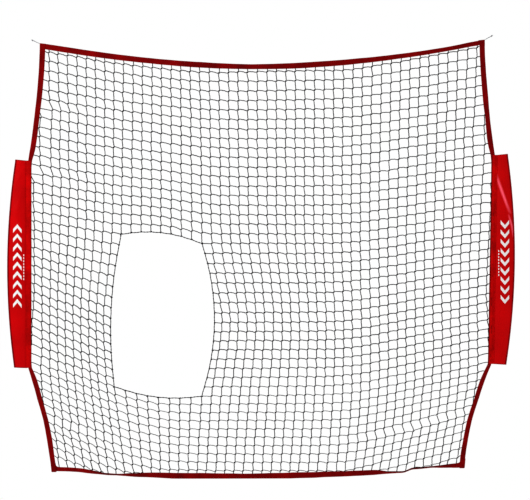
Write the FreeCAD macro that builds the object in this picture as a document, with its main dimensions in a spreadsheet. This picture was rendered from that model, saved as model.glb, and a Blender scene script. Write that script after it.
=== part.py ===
import FreeCAD, Part
import Sketcher
import math
import os

# A square pitch-through target net for a bow frame: knotted twine mesh with a
# strike-zone opening, a folded tape binding round the edge, a pole sleeve on each
# side and a tie cord at each top corner.
# Millimetres. +X is to the right seen from the pitcher, +Z is up, the net lies in the
# XZ plane, and the origin is at the middle of the bottom edge.

SIZES = {
    # corners of the binding's outer edge
    "top_left_x": -1054, "top_left_z": 2075,
    "top_right_x": 1066, "top_right_z": 2093,
    "bottom_left_x": -997, "bottom_left_z": 31,
    "bottom_right_x": 972, "bottom_right_z": 49,
    # straight seams that join the sleeves to the binding
    "left_seam_x": -1112, "left_seam_low_z": 529, "left_seam_high_z": 1518,
    "right_seam_low_x": 1101, "right_seam_low_z": 547,
    "right_seam_high_x": 1118, "right_seam_high_z": 1545,
    # how the edges bow between those points
    "top_radius": 5403, "bottom_radius": 12290,
    "left_high_radius": 3569, "left_low_radius": 1928,
    "right_high_radius": 4213, "right_low_radius": 1390,
    # folded tape binding with a cord in its fold
    "tape_width": 22, "tape_thick": 8.2, "tape_wall": 1,
    "edge_cord": 5, "cord_inset": 3.8, "butt_gap": 0.4,
    "top_drop": 4.5, "bottom_drop": 1.8,
    # reinforcing patches folded over the corners
    "patch_side": 40, "patch_over": 3, "patch_wall": 1.1, "patch_clear": 0.4,
    "patch_splay_top": 2, "patch_splay_bottom": 5,
    "patch_fall_top": -2.8, "patch_fall_bottom": 2.2,
    # net
    "twine": 2.8, "twine_offset": 1.5, "border_cord": 4,
    # sleeves: lens-shaped pockets on a flat flange, open at both ends
    "sleeve_gap": 1.2, "sleeve_flange": 10, "flange_thick": 2, "flange_lap": 1.5,
    "sleeve_wall": 1.2, "channel_start": 2.5,
    "sleeve_thick_end": 20, "sleeve_thick_hem": 21, "sleeve_thick_mid": 30,
    "left_low_out_x": -1178, "left_low_hem_x": -1181, "left_mid_out_x": -1211,
    "left_high_hem_x": -1176, "left_high_out_x": -1172,
    "right_low_out_x": 1170, "right_low_hem_x": 1174, "right_mid_out_x": 1211,
    "right_high_hem_x": 1180, "right_high_out_x": 1177,
    "hem_height": 24, "hem_wall": 0.9, "hem_clear": 0.5,
    # tie cords at the top corners
    "tie_cord": 3, "tie_length": 30, "tie_gap": 0.5, "knot_length": 9, "knot": 8,
    "knot_taper": 2.5,
    "tie_left_rise": 24, "tie_right_rise": 30,
}

CELLS = 47                        # mesh cells along the top and down each side
HIGH, MIDDLE, LOW = 19, 27, 35    # rows: the opening's top, its middle and its bottom
WEST, EAST = -14.5, -6.5          # columns: the opening's sides, from the middle column
BORDER_CORNERS = {
    "top_left": (-667, 1166), "top_right": (-282, 1121),
    "bottom_right": (-284, 393), "bottom_left": (-700, 440),
}
BORDER_BOWS = {"left": 33, "right": 62, "top": 31, "bottom": 29}

# Places of the mesh lines at six columns; the lines run straight between them.
STEPS = (-25.5, WEST, -10.5, EAST, 9.5, 25.5)
COLUMN_X = {
    0: (-1148, -656, -474, -293, 440, 1168),
    HIGH: (-1126, -667, -478, -282, 428, 1135),
    MIDDLE: (-1118, -719, -468, -218, 438, 1116),
    LOW: (-1126, -700, -490, -284, 438, 1126),
    CELLS: (-1080, -642, -477, -312, 391, 1054),
}
ROW_Z = {
    0: (2085, 2020, 2001, 1982, 1995, 2108),
    HIGH: (1230, 1166, 1172, 1121, 1121, 1227),
    MIDDLE: (893, 766, 755, 744, 747, 884),
    LOW: (553, 440, 389, 393, 398, 554),
    CELLS: (72, -52, -74, -80, -88, 66),
}
SIDE_COLUMNS = {23.5: (7, 40), 24.5: (14, 33)}   # the rows where each begins and ends
TWINE_INSET = 8       # how far inside the binding's outer edge a twine ends
TWINE_CLEAR = 0.3     # between a twine's end and the border cord
BORDER_REACH = 6      # how far the opening's own lines run on past its corners
TWINE_GAP = 0.5       # between a bend and the end of each stretch beside it

doc = FreeCAD.newDocument("target_net")
sheet = doc.addObject("Spreadsheet::Sheet", "Sizes")
for number, (alias, value) in enumerate(SIZES.items(), start=1):
    sheet.set(f"A{number}", alias)
    sheet.set(f"B{number}", str(value))
    sheet.setAlias(f"B{number}", alias)
doc.recompute()
size = {alias: float(getattr(sheet, alias)) for alias in SIZES}

nodes = []


class Length:
    """A sum of sheet cells times factors: its value now, and its expression."""

    def __init__(self, **factors):
        self.factors = factors

    def __float__(self):
        return float(sum(f * size[alias] for alias, f in self.factors.items()))

    def __str__(self):
        terms = [f"{factor} * Sizes.{alias}" for alias, factor in self.factors.items()]
        return " + ".join(terms)

    def plus(self, **factors):
        both = dict(self.factors)
        for alias, factor in factors.items():
            both[alias] = both.get(alias, 0) + factor
        return Length(**both)


class LensRadius:
    """The radius of the arcs of a lens of this width and thickness."""

    def __init__(self, width, thick):
        self.width, self.thick = width, thick

    def __float__(self):
        width, thick = float(self.width), float(self.thick)
        return (width * width + thick * thick) / (4 * thick)

    def __str__(self):
        return f"(({self.width})^2 + ({self.thick})^2) / (4 * ({self.thick}))"


def bow_of_arc(first, last, radius, side):
    """An arc's halfway point and its centre; it bows to the left (1) or right (-1)."""
    chord = FreeCAD.Vector(last[0] - first[0], last[1] - first[1], 0)
    half = chord.Length / 2
    flat = math.sqrt(radius * radius - half * half)
    normal = FreeCAD.Vector(-chord.y, chord.x, 0).normalize() * side
    middle = (first[0] + last[0]) / 2, (first[1] + last[1]) / 2
    bow = radius - flat
    halfway = middle[0] + normal.x * bow, middle[1] + normal.y * bow
    centre = middle[0] - normal.x * flat, middle[1] - normal.y * flat
    return halfway, centre


def on_plane(body, role, name, lift=0.0):
    """A sketch on one of the body's own origin planes, lifted along its normal."""
    plane = [f for f in body.Origin.OriginFeatures if f.Role == role][0]
    sketch = body.newObject("Sketcher::SketchObject", name)
    sketch.AttachmentSupport = [(plane, "")]
    sketch.MapMode = "FlatFace"
    sketch.AttachmentOffset = FreeCAD.Placement(
        FreeCAD.Vector(0, 0, lift), FreeCAD.Rotation()
    )
    return sketch


def draw(sketch, points, edges):
    """Lines and arcs through points, each held by the sheet's cells.

    edges holds None for a line, or (radius cell, side) for an arc.
    """
    count = len(points)
    for index, edge in enumerate(edges):
        a, b = points[index], points[(index + 1) % count]
        first = (float(a[0]), float(a[1]))
        last = (float(b[0]), float(b[1]))
        start = FreeCAD.Vector(*first, 0)
        end = FreeCAD.Vector(*last, 0)
        if edge is None:
            sketch.addGeometry(Part.LineSegment(start, end), False)
            begins, ends = 1, 2
        else:
            radius, side = edge
            value = float(radius)
            through = FreeCAD.Vector(*bow_of_arc(first, last, value, side)[0], 0)
            sketch.addGeometry(Part.Arc(start, through, end), False)
            # a sketch stores every arc anticlockwise
            begins, ends = (2, 1) if side > 0 else (1, 2)
        for place, point in ((begins, a), (ends, b)):
            hold_point(sketch, index, place, point)
        if edge is not None:
            row = sketch.addConstraint(Sketcher.Constraint("Radius", index, value))
            sketch.setExpression(f"Constraints[{row}]", str(radius))


def hold_point(sketch, index, place, point):
    for kind, value in zip(("DistanceX", "DistanceY"), point):
        row = sketch.addConstraint(
            Sketcher.Constraint(kind, -1, 1, index, place, float(value))
        )
        if value.factors:
            sketch.setExpression(f"Constraints[{row}]", str(value))


def body_called(label):
    body = doc.addObject("PartDesign::Body", label)
    body.Label = label
    nodes.append(body)
    return body


def pad_both_ways(body, sketch, thick):
    pad = body.newObject("PartDesign::Pad", f"{body.Name}_pad")
    pad.Profile = sketch
    pad.SideType = "Symmetric"
    pad.setExpression("Length", str(thick))
    return pad


def pocket_both_ways(body, sketch, thick):
    pocket = body.newObject("PartDesign::Pocket", f"{body.Name}_pocket")
    pocket.Profile = sketch
    pocket.SideType = "Symmetric"
    pocket.setExpression("Length", str(thick))
    return pocket


CARRIED, ROUNDED = 0, 2    # how a tube passes a corner of its path


def in_net(point, offset=0.0):
    return FreeCAD.Vector(point[0], offset, point[1])


def tube(path, radius, corners):
    """A round solid along a wire."""
    edge = path.Edges[0]
    start = path.OrderedVertexes[0].Point
    ring = Part.Wire(Part.makeCircle(radius, start, edge.tangentAt(edge.FirstParameter)))
    return path.makePipeShell([ring], True, False, corners)


def add_shape(label, shape):
    """A sub-part whose shape is worked out here."""
    feature = doc.addObject("Part::Feature", label)
    feature.Label = label
    feature.Shape = shape
    nodes.append(feature)


ZERO = Length()
TAPE = Length(tape_thick=1)
TAPE_SLOT = Length(tape_thick=1, tape_wall=-2)
PATCH = Length(tape_thick=1, patch_clear=1, patch_wall=2)
PATCH_SLOT = Length(tape_thick=1, patch_clear=1)


def curves(side):
    """A binding's outer edge: its points and the arcs or lines between them.

    The last value is the pair of signs that leads from the edge into the net.
    """
    if side == "left":
        radii = Length(left_low_radius=1), Length(left_high_radius=1)
        points = [
            (Length(bottom_left_x=1), Length(bottom_left_z=1)),
            (Length(left_seam_x=1), Length(left_seam_low_z=1)),
            (Length(left_seam_x=1), Length(left_seam_high_z=1)),
            (Length(top_left_x=1), Length(top_left_z=1)),
        ]
        return points, [(radii[0], -1), None, (radii[1], -1)], (1, 0)
    if side == "right":
        radii = Length(right_low_radius=1), Length(right_high_radius=1)
        points = [
            (Length(bottom_right_x=1), Length(bottom_right_z=1)),
            (Length(right_seam_low_x=1), Length(right_seam_low_z=1)),
            (Length(right_seam_high_x=1), Length(right_seam_high_z=1)),
            (Length(top_right_x=1), Length(top_right_z=1)),
        ]
        return points, [(radii[0], 1), None, (radii[1], 1)], (-1, 0)
    inward = 1 if side == "bottom" else -1
    edges = [(Length(**{f"{side}_radius": 1}), -1)]
    points = []
    for end, sign in (("left", 1), ("right", -1)):
        x = Length(**{f"{side}_{end}_x": 1}).plus(tape_width=sign, butt_gap=sign)
        z = Length(**{f"{side}_{end}_z": 1}).plus(**{f"{side}_drop": -1})
        points.append((x, z))
    return points, edges, (0, inward)


def moved(point, inward, **distance):
    """A point of the outer edge, moved into the net by a sum of cells."""
    shifted = []
    for value, sign in zip(point, inward):
        parts = {alias: factor * sign for alias, factor in distance.items() if sign}
        shifted.append(value.plus(**parts))
    return tuple(shifted)


def strip(side, outer, inner):
    """A closed outline between two copies of a binding's outer edge."""
    points, edges, inward = curves(side)
    there = [moved(point, inward, **outer) for point in points]
    back = [moved(point, inward, **inner) for point in reversed(points)]
    turned = [edge and (edge[0], -edge[1]) for edge in reversed(edges)]
    return there + back, edges + [None] + turned + [None]


def make_binding(side):
    """A tape folded over the net's edge: a U whose slot opens into the net."""
    body = body_called(f"binding_{side}")
    outline = on_plane(body, "XZ_Plane", f"{side}_tape_outline")
    draw(outline, *strip(side, {}, {"tape_width": 1}))
    pad_both_ways(body, outline, TAPE)
    slot = on_plane(body, "XZ_Plane", f"{side}_tape_slot")
    draw(slot, *strip(side, {"tape_wall": 1}, {"tape_width": 1, "tape_wall": 1}))
    pocket_both_ways(body, slot, TAPE_SLOT)


def make_edge_cord(side):
    """The round cord that lies in a binding's fold."""
    points, edges, inward = curves(side)
    points = [moved(point, inward, cord_inset=1) for point in points]
    points = [(float(x), float(z)) for x, z in points]
    runs = []
    for first, last, edge in zip(points, points[1:], edges):
        if edge is None:
            runs.append(Part.LineSegment(in_net(first), in_net(last)).toShape())
        else:
            halfway = bow_of_arc(first, last, float(edge[0]), edge[1])[0]
            arc = Part.Arc(in_net(first), in_net(halfway), in_net(last))
            runs.append(arc.toShape())
    add_shape(f"edge_cord_{side}", tube(Part.Wire(runs), size["edge_cord"] / 2, CARRIED))


def make_corner_patch(high, end):
    """A patch folded over a corner: two faces joined along the outer edges."""
    body = body_called(f"corner_patch_{high}_{end}")
    corner = Length(**{f"{high}_{end}_x": 1}), Length(**{f"{high}_{end}_z": 1})
    right = 1 if end == "left" else -1
    up = 1 if high == "bottom" else -1
    splay, fall = f"patch_splay_{high}", f"patch_fall_{high}"

    def spot(across, along):
        x = {alias: factor * right for alias, factor in across.items()}
        z = {alias: factor * up for alias, factor in along.items()}
        return corner[0].plus(**x), corner[1].plus(**z)

    outline = on_plane(body, "XZ_Plane", f"{high}_{end}_patch_outline")
    draw(outline, [
        spot({"patch_over": -1}, {"patch_over": -1}),
        spot({"patch_side": 1}, {"patch_over": -1, fall: -1}),
        spot({"patch_side": 1}, {"tape_width": 1}),
        spot({"tape_width": 1}, {"patch_side": 1}),
        spot({"patch_over": -1, splay: -1}, {"patch_side": 1}),
    ], [None] * 5)
    pad_both_ways(body, outline, PATCH)
    inside = {"patch_over": -1, "patch_wall": 1}
    beyond = {"patch_side": 1, "patch_wall": 1}
    slot = on_plane(body, "XZ_Plane", f"{high}_{end}_patch_slot")
    draw(slot, [
        spot(inside, inside),
        spot(beyond, {**inside, fall: -1}),
        spot(beyond, beyond),
        spot({**inside, splay: -1}, beyond),
    ], [None] * 4)
    pocket_both_ways(body, slot, PATCH_SLOT)


def seam_x(side, level):
    if side == "left":
        return Length(left_seam_x=1)
    if level == "mid":
        return Length(right_seam_low_x=0.5, right_seam_high_x=0.5)
    return Length(**{f"right_seam_{level}_x": 1})


def seam_z(side, level):
    if level == "mid":
        return Length(**{f"{side}_seam_low_z": 0.5, f"{side}_seam_high_z": 0.5})
    return Length(**{f"{side}_seam_{level}_z": 1})


def stations(side):
    """Where the lens section is set: its seam, outer fold, thickness and height."""
    rows = []
    for name, level, up in (
        ("low", "low", 0), ("low_hem", "low", 1), ("mid", "mid", 0),
        ("high_hem", "high", -1), ("high", "high", 0),
    ):
        out = f"{side}_{name}_x" if "hem" in name else f"{side}_{name}_out_x"
        thick = {"low_hem": "hem", "high_hem": "hem", "mid": "mid"}.get(name, "end")
        height = seam_z(side, level).plus(hem_height=up)
        rows.append({
            "name": name, "seam": seam_x(side, level), "fold": Length(**{out: 1}),
            "thick": Length(**{f"sleeve_thick_{thick}": 1}), "height": height,
        })
    return rows


def lens(body, side, station, label, start, finish, thinner):
    """A lens section: start is counted out from the seam, finish in from the fold."""
    out = -1 if side == "left" else 1
    first = station["seam"].plus(**{a: f * out for a, f in start.items()})
    last = station["fold"].plus(**{a: -f * out for a, f in finish.items()})
    thick = station["thick"].plus(**{a: -f for a, f in thinner.items()})
    width = {alias: factor * out for alias, factor in last.factors.items()}
    width = Length(**width).plus(**{a: -f * out for a, f in first.factors.items()})
    sketch = on_plane(body, "XY_Plane", f"{label}_{station['name']}")
    sketch.setExpression("AttachmentOffset.Base.z", str(station["height"]))
    radius = LensRadius(width, thick)
    draw(sketch, [(first, ZERO), (last, ZERO)], [(radius, 1), (radius, 1)])
    return sketch


def loft(body, kind, sketches):
    feature = body.newObject(f"PartDesign::{kind}", f"{body.Name}_{kind}")
    feature.Profile = sketches[0]
    feature.Sections = sketches[1:]
    return feature


POCKET = {"sleeve_gap": 1, "sleeve_flange": 1}
CHANNEL = {"sleeve_gap": 1, "sleeve_flange": 1, "channel_start": 1}


def make_sleeve(side):
    """A pocket for a bow pole, with a flat flange along its seam."""
    body = body_called(f"sleeve_{side}")
    levels = [level for level in stations(side) if "hem" not in level["name"]]
    loft(body, "AdditiveLoft", [
        lens(body, side, level, f"{side}_pocket", POCKET, {}, {}) for level in levels
    ])
    out = -1 if side == "left" else 1
    flange = on_plane(body, "XZ_Plane", f"{side}_flange")
    ends = []
    for level in (levels[0], levels[-1]):
        near = level["seam"].plus(sleeve_gap=out)
        far = near.plus(sleeve_flange=out, flange_lap=out)
        ends.append([(near, level["height"]), (far, level["height"])])
    draw(flange, ends[0] + ends[1][::-1], [None] * 4)
    pad_both_ways(body, flange, Length(flange_thick=1))
    loft(body, "SubtractiveLoft", [
        lens(body, side, level, f"{side}_channel", CHANNEL,
             {"sleeve_wall": 1}, {"sleeve_wall": 2}) for level in levels
    ])


def make_hem(side, end):
    """The turned-in hem that lines one mouth of a sleeve."""
    body = body_called(f"sleeve_hem_{side}_{end}")
    levels = stations(side)
    levels = levels[:2] if end == "bottom" else levels[-2:]
    outside = {**CHANNEL, "hem_clear": 2}
    inside = {**outside, "hem_wall": 2}
    loft(body, "AdditiveLoft", [
        lens(body, side, level, f"{body.Name}_outside", outside,
             {"sleeve_wall": 1, "hem_clear": 2},
             {"sleeve_wall": 2, "hem_clear": 2}) for level in levels
    ])
    loft(body, "SubtractiveLoft", [
        lens(body, side, level, f"{body.Name}_inside", inside,
             {"sleeve_wall": 1, "hem_clear": 2, "hem_wall": 2},
             {"sleeve_wall": 2, "hem_clear": 2, "hem_wall": 2}) for level in levels
    ])


def tie_pivot(side):
    """Where a tie cord leaves its corner, and the direction that it points."""
    right = 1 if side == "right" else -1
    rise = math.radians(size[f"tie_{side}_rise"])
    away = FreeCAD.Vector(right * math.cos(rise), 0, math.sin(rise))
    stand_off = size["patch_over"] + size["tie_gap"]
    stand_off += size["tie_cord"] / 2
    corner = FreeCAD.Vector(size[f"top_{side}_x"], 0, size[f"top_{side}_z"])
    slant = FreeCAD.Vector(right * stand_off, 0, stand_off * 0.5)
    return corner + slant, away


def make_tie_cord(side):
    """A short taut cord with a round inner end, about which it swings."""
    pivot, away = tie_pivot(side)
    turn = FreeCAD.Rotation(FreeCAD.Vector(0, 0, 1), away)
    run = doc.addObject("Part::Cylinder", f"tie_{side}_run")
    run.setExpression("Radius", "0.5 * Sizes.tie_cord")
    run.setExpression("Height", "Sizes.tie_length")
    ball = doc.addObject("Part::Sphere", f"tie_{side}_ball")
    ball.setExpression("Radius", "0.5 * Sizes.tie_cord")
    tie = doc.addObject("Part::MultiFuse", f"tie_cord_{side}")
    tie.Label = f"tie_cord_{side}"
    tie.Shapes = [run, ball]
    tie.Placement = FreeCAD.Placement(pivot, turn)
    nodes.append(tie)


def make_tie_knot(side):
    """The stopper knot on the free end of a tie cord, as a barrel with tapered ends."""
    pivot, away = tie_pivot(side)
    body = body_called(f"tie_knot_{side}")
    profile = on_plane(body, "XZ_Plane", f"{side}_knot_profile")
    neck, belly = Length(tie_cord=0.5), Length(knot=0.5)
    tall, taper = Length(knot_length=1), Length(knot_taper=1)
    shoulder = Length(knot_length=1, knot_taper=-1)
    draw(profile, [
        (ZERO, ZERO), (neck, ZERO), (belly, taper),
        (belly, shoulder), (neck, tall), (ZERO, tall),
    ], [None] * 6)
    spin = body.newObject("PartDesign::Revolution", f"{side}_knot_spin")
    spin.Profile = profile
    axis = [f for f in body.Origin.OriginFeatures if f.Role == "Z_Axis"][0]
    spin.ReferenceAxis = (axis, [""])
    spin.Angle = 360
    turn = FreeCAD.Rotation(FreeCAD.Vector(0, 0, 1), away)
    body.Placement = FreeCAD.Placement(pivot + away * size["tie_length"], turn)


def between(low, high, share):
    return low + (high - low) * share


def on_steps(values, column):
    """A value given at the six set columns, read at any column."""
    for index in range(len(STEPS) - 1):
        if column <= STEPS[index + 1]:
            break
    span = STEPS[index + 1] - STEPS[index]
    share = (column - STEPS[index]) / span
    return between(values[index], values[index + 1], share)


def on_rows(table, column, row):
    """A value given at a few rows, read at any row."""
    rows = sorted(table)
    for low, high in zip(rows, rows[1:]):
        if row <= high:
            break
    share = (row - low) / (high - low)
    return between(on_steps(table[low], column), on_steps(table[high], column), share)


def mesh_point(column, row):
    return on_rows(COLUMN_X, column, row), on_rows(ROW_Z, column, row)


def arc_height(first, last, radius, side):
    """An arc's second coordinate as a function of its first."""
    halfway, centre = bow_of_arc(first, last, radius, side)
    up = 1 if halfway[1] > centre[1] else -1

    def height(at):
        run = at - centre[0]
        return centre[1] + up * math.sqrt(max(radius * radius - run * run, 0.0))

    return height


def flipped(point):
    return point[1], point[0]


def edge_heights():
    """The outer edge of the top and of the bottom binding, as functions of x."""
    rows = {}
    for side in ("top", "bottom"):
        first = size[f"{side}_left_x"], size[f"{side}_left_z"]
        last = size[f"{side}_right_x"], size[f"{side}_right_z"]
        rows[side] = arc_height(first, last, size[f"{side}_radius"], -1)
    return rows


def edge_across(side):
    """The outer edge of a side binding, as a function of z."""
    points = [tuple(float(v) for v in point) for point in curves(side)[0]]
    bow = 1 if side == "left" else -1
    low = arc_height(
        flipped(points[0]), flipped(points[1]), size[f"{side}_low_radius"], bow
    )
    high = arc_height(
        flipped(points[2]), flipped(points[3]), size[f"{side}_high_radius"], bow
    )

    def across(z):
        if z < points[1][1]:
            return low(z)
        if z > points[2][1]:
            return high(z)
        share = (z - points[1][1]) / (points[2][1] - points[1][1])
        return between(points[1][0], points[2][0], share)

    return across


def bow_radius(first, last, bow):
    half = math.dist(first, last) / 2
    return (half * half + bow * bow) / (2 * bow)


def border_sides():
    """The four bowed sides of the opening: first and last corner, and radius."""
    corners = BORDER_CORNERS
    rows = {
        "top": (corners["top_left"], corners["top_right"]),
        "right": (corners["top_right"], corners["bottom_right"]),
        "bottom": (corners["bottom_right"], corners["bottom_left"]),
        "left": (corners["bottom_left"], corners["top_left"]),
    }
    return {
        side: (first, last, bow_radius(first, last, BORDER_BOWS[side]))
        for side, (first, last) in rows.items()
    }


def make_border_cord():
    """The heavier cord knotted round the opening: four bowed runs in a ring."""
    edges = []
    for first, last, radius in border_sides().values():
        middle = bow_of_arc(first, last, radius, 1)[0]
        arc = Part.Arc(in_net(first), in_net(middle), in_net(last))
        edges.append(arc.toShape())
    shape = tube(Part.Wire(edges), size["border_cord"] / 2, ROUNDED)
    add_shape("opening_border_cord", shape)


def clipped(points, floor):
    """The stretches of a line that lie above a floor, as separate lines."""
    pieces, current = [], []
    for here, there in zip(points, points[1:]):
        above, below = here[1] > floor(here[0]), there[1] > floor(there[0])
        if above and not current:
            current = [here]
        if above != below:
            lift = here[1] - floor(here[0])
            drop = there[1] - floor(there[0])
            share = lift / (lift - drop)
            x = between(here[0], there[0], share)
            current.append((x, floor(x)))
            if above:
                pieces.append(current)
                current = []
                continue
        if below:
            current.append(there)
    return pieces + ([current] if len(current) > 1 else [])


class Mesh:
    """The net's lines, each cut where it meets the binding or the opening."""

    def __init__(self):
        heights = edge_heights()
        self.ceiling = lambda x: heights["top"](x) - TWINE_INSET
        self.floor = lambda x: heights["bottom"](x) + TWINE_INSET
        left, right = edge_across("left"), edge_across("right")
        self.left = lambda z: left(z) + TWINE_INSET
        self.right = lambda z: right(z) - TWINE_INSET
        sides = border_sides()
        gap = size["border_cord"] / 2 + size["twine"] / 2 + TWINE_CLEAR
        top = arc_height(sides["top"][0], sides["top"][1], sides["top"][2], 1)
        low = arc_height(*sides["bottom"][:2], sides["bottom"][2], 1)
        west = arc_height(*map(flipped, sides["left"][:2]), sides["left"][2], -1)
        east = arc_height(*map(flipped, sides["right"][:2]), sides["right"][2], -1)
        self.border_top = lambda x: top(x) + gap
        self.border_low = lambda x: low(x) - gap
        self.border_west = lambda z: west(z) - gap
        self.border_east = lambda z: east(z) + gap

    def columns(self):
        """Every upright line, from the top down."""
        lines = []
        reach = (CELLS - 1) // 2 - 0.5
        for step in range(CELLS - 1):
            lines += self.column(step - reach)
        for column, (begin, finish) in SIDE_COLUMNS.items():
            lines.append(self.side_column(-column, begin, finish, self.left))
            lines.append(self.side_column(column, begin, finish, self.right))
        return lines

    def column(self, column):
        first = mesh_point(column, 0)
        first = (first[0], self.ceiling(first[0]))
        rows = [mesh_point(column, row) for row in (HIGH, MIDDLE, LOW, CELLS)]
        if column < WEST or column > EAST:
            return clipped([first] + rows, self.floor)
        if column in (WEST, EAST):
            above = [first, (rows[0][0], rows[0][1] + BORDER_REACH)]
            below = clipped([(rows[2][0], rows[2][1] - BORDER_REACH), rows[3]], self.floor)
            return [above] + below
        above = [first, (rows[0][0], self.border_top(rows[0][0]))]
        below = [(rows[2][0], self.border_low(rows[2][0])), rows[3]]
        return [above] + clipped(below, self.floor)

    def side_column(self, column, begin, finish, edge):
        """A line of the wider middle of the net, which starts and ends at a side."""
        inner = [mesh_point(column, row) for row in (HIGH, MIDDLE, LOW) if row < finish]
        ends = []
        for row in (begin, finish):
            z = mesh_point(column, row)[1]
            ends.append((edge(z), z))
        return [ends[0]] + inner + [ends[1]]

    def rows(self):
        """Every cross line, from left to right."""
        lines = []
        for row in range(1, CELLS):
            lines += self.row(row)
        return lines

    def row(self, row):
        points = [mesh_point(column, row) for column in STEPS]
        points[0] = (self.left(points[0][1]), points[0][1])
        points[-1] = (self.right(points[-1][1]), points[-1][1])
        if row < HIGH or row > LOW:
            return clipped(points, self.floor)
        west, east = points[1], points[3]
        if row in (HIGH, LOW):
            west, east = (west[0] - BORDER_REACH, west[1]), (east[0] + BORDER_REACH, east[1])
        else:
            west = (self.border_west(west[1]), west[1])
            east = (self.border_east(east[1]), east[1])
        return [[points[0], west], [east] + points[4:]]


def make_twines(label, lines, offset):
    """One family of mesh twines, each straight stretch of a twine a solid of its own."""
    solids = []
    for line in lines:
        spots = [in_net(point, offset) for point in line]
        for index, (first, last) in enumerate(zip(spots, spots[1:])):
            run = last - first
            start = TWINE_GAP if index > 0 else 0
            finish = TWINE_GAP if index < len(spots) - 2 else 0
            along = FreeCAD.Vector(run).normalize()
            length = run.Length - start - finish
            base = first + along * start
            solids.append(Part.makeCylinder(size["twine"] / 2, length, base, along))
    add_shape(label, Part.makeCompound(solids))


def check(node):
    """Stop if an object failed or a shape is empty or invalid."""
    for item in doc.Objects:
        if "Invalid" in item.State or "Error" in item.State:
            raise RuntimeError(f"{item.Label} failed: {item.State}")
    if node.Shape.isNull() or not node.Shape.isValid():
        raise RuntimeError(f"{node.Label} has no valid shape")


SIDES = ("left", "right")

mesh = Mesh()
make_twines("vertical_twines", mesh.columns(), size["twine_offset"])
make_twines("horizontal_twines", mesh.rows(), -size["twine_offset"])
make_border_cord()
for edge_side in ("top", "bottom", "left", "right"):
    make_binding(edge_side)
    make_edge_cord(edge_side)
for level_name in ("top", "bottom"):
    for end_side in SIDES:
        make_corner_patch(level_name, end_side)
for end_side in SIDES:
    make_sleeve(end_side)
    make_hem(end_side, "top")
    make_hem(end_side, "bottom")
    make_tie_cord(end_side)
    make_tie_knot(end_side)
doc.recompute()

os.makedirs("parts", exist_ok=True)
for node in nodes:
    check(node)
    node.Shape.exportStep(f"parts/{node.Label}.step")
    box = node.Shape.BoundBox
    print(
        f"{node.Label}: {len(node.Shape.Solids)} solids, {node.Shape.Volume:.0f} mm3, "
        f"x {box.XMin:.1f}..{box.XMax:.1f}, y {box.YMin:.1f}..{box.YMax:.1f}, "
        f"z {box.ZMin:.1f}..{box.ZMax:.1f}"
    )
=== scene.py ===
"""A square pitch-through target net, built round its CAD frame, in metres.

The net hangs in the XZ plane and is seen from -Y. Knotted black twine is sewn into folded
red tape along the four edges, two red pole sleeves hang off the sides, and a short cord is
tied to each top corner. Pieces start from the places in the frame; the lie of the tapes, the
creases and the prints are set here.
"""

import math
from types import SimpleNamespace

import bpy
import numpy as np
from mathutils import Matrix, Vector


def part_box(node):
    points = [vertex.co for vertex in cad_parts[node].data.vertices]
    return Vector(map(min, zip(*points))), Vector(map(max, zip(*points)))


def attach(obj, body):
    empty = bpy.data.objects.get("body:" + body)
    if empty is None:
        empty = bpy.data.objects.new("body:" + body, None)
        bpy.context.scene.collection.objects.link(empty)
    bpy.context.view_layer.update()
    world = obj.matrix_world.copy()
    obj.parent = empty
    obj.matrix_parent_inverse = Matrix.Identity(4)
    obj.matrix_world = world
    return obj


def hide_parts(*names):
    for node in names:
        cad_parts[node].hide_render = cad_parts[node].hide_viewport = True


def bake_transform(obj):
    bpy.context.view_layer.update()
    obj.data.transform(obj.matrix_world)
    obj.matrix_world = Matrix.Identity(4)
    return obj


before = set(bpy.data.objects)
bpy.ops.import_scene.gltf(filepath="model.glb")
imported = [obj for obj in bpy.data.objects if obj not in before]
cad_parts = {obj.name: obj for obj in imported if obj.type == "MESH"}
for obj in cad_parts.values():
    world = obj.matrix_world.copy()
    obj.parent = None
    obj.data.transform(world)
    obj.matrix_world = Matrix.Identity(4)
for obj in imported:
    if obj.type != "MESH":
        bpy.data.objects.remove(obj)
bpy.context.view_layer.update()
rng = np.random.default_rng(7)
MM = 0.001

# --- the twine and its knots ---
TWINE = 1.94 * MM            # radius of the mesh twine
BORDER = 2.1 * MM            # radius of the cord round the opening
LOBES = 0.16                 # how far a twine's three strands stand out, as a share of its radius
LAY = 2 * math.pi / 0.044    # how fast the strands turn along the twine
KNOT_ARM = np.array([4.4, 3.0]) * MM     # from a knot's middle to where the cross twine leaves it
KNOT_LEG = np.array([2.3, 4.2]) * MM     # the same for the upright twine
KNOT_COIL = 1.9 * MM         # radius of a knot's turns
KNOT_LONG = 6.6 * MM         # length of a knot along its slant
KNOT_TWIST = 3.2 * math.pi   # how far its twine turns
SAG = 1.6 * MM               # how far a cross twine hangs between two knots
BORDER_HOLD = 3.7 * MM       # from the end of a CAD twine to the middle of the border cord
BILLOW = 6.5 * MM            # how strongly the hanging net swells out of its plane
TWINE_RINGS, TWINE_SIDES = 8, 6
KNOT_RINGS, KNOT_SIDES = 10, 5

# --- the folded tape ---
TAPE_STEP = 6 * MM           # spacing of its cross-sections
TAPE_CLOTH = 0.9 * MM        # thickness of one layer
STITCH = SimpleNamespace(length=3.2 * MM, pitch=4.6 * MM, width=0.8 * MM, height=0.5 * MM)


# ============================== reading the frame ==============================

def corners_of(node):
    """A CAD node's vertices and edges."""
    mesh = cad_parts[node].data
    spots = np.zeros(len(mesh.vertices) * 3, np.float32)
    mesh.vertices.foreach_get("co", spots)
    links = np.zeros(len(mesh.edges) * 2, np.int32)
    mesh.edges.foreach_get("vertices", links)
    return spots.reshape(-1, 3).astype(float), links.reshape(-1, 2)


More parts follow.
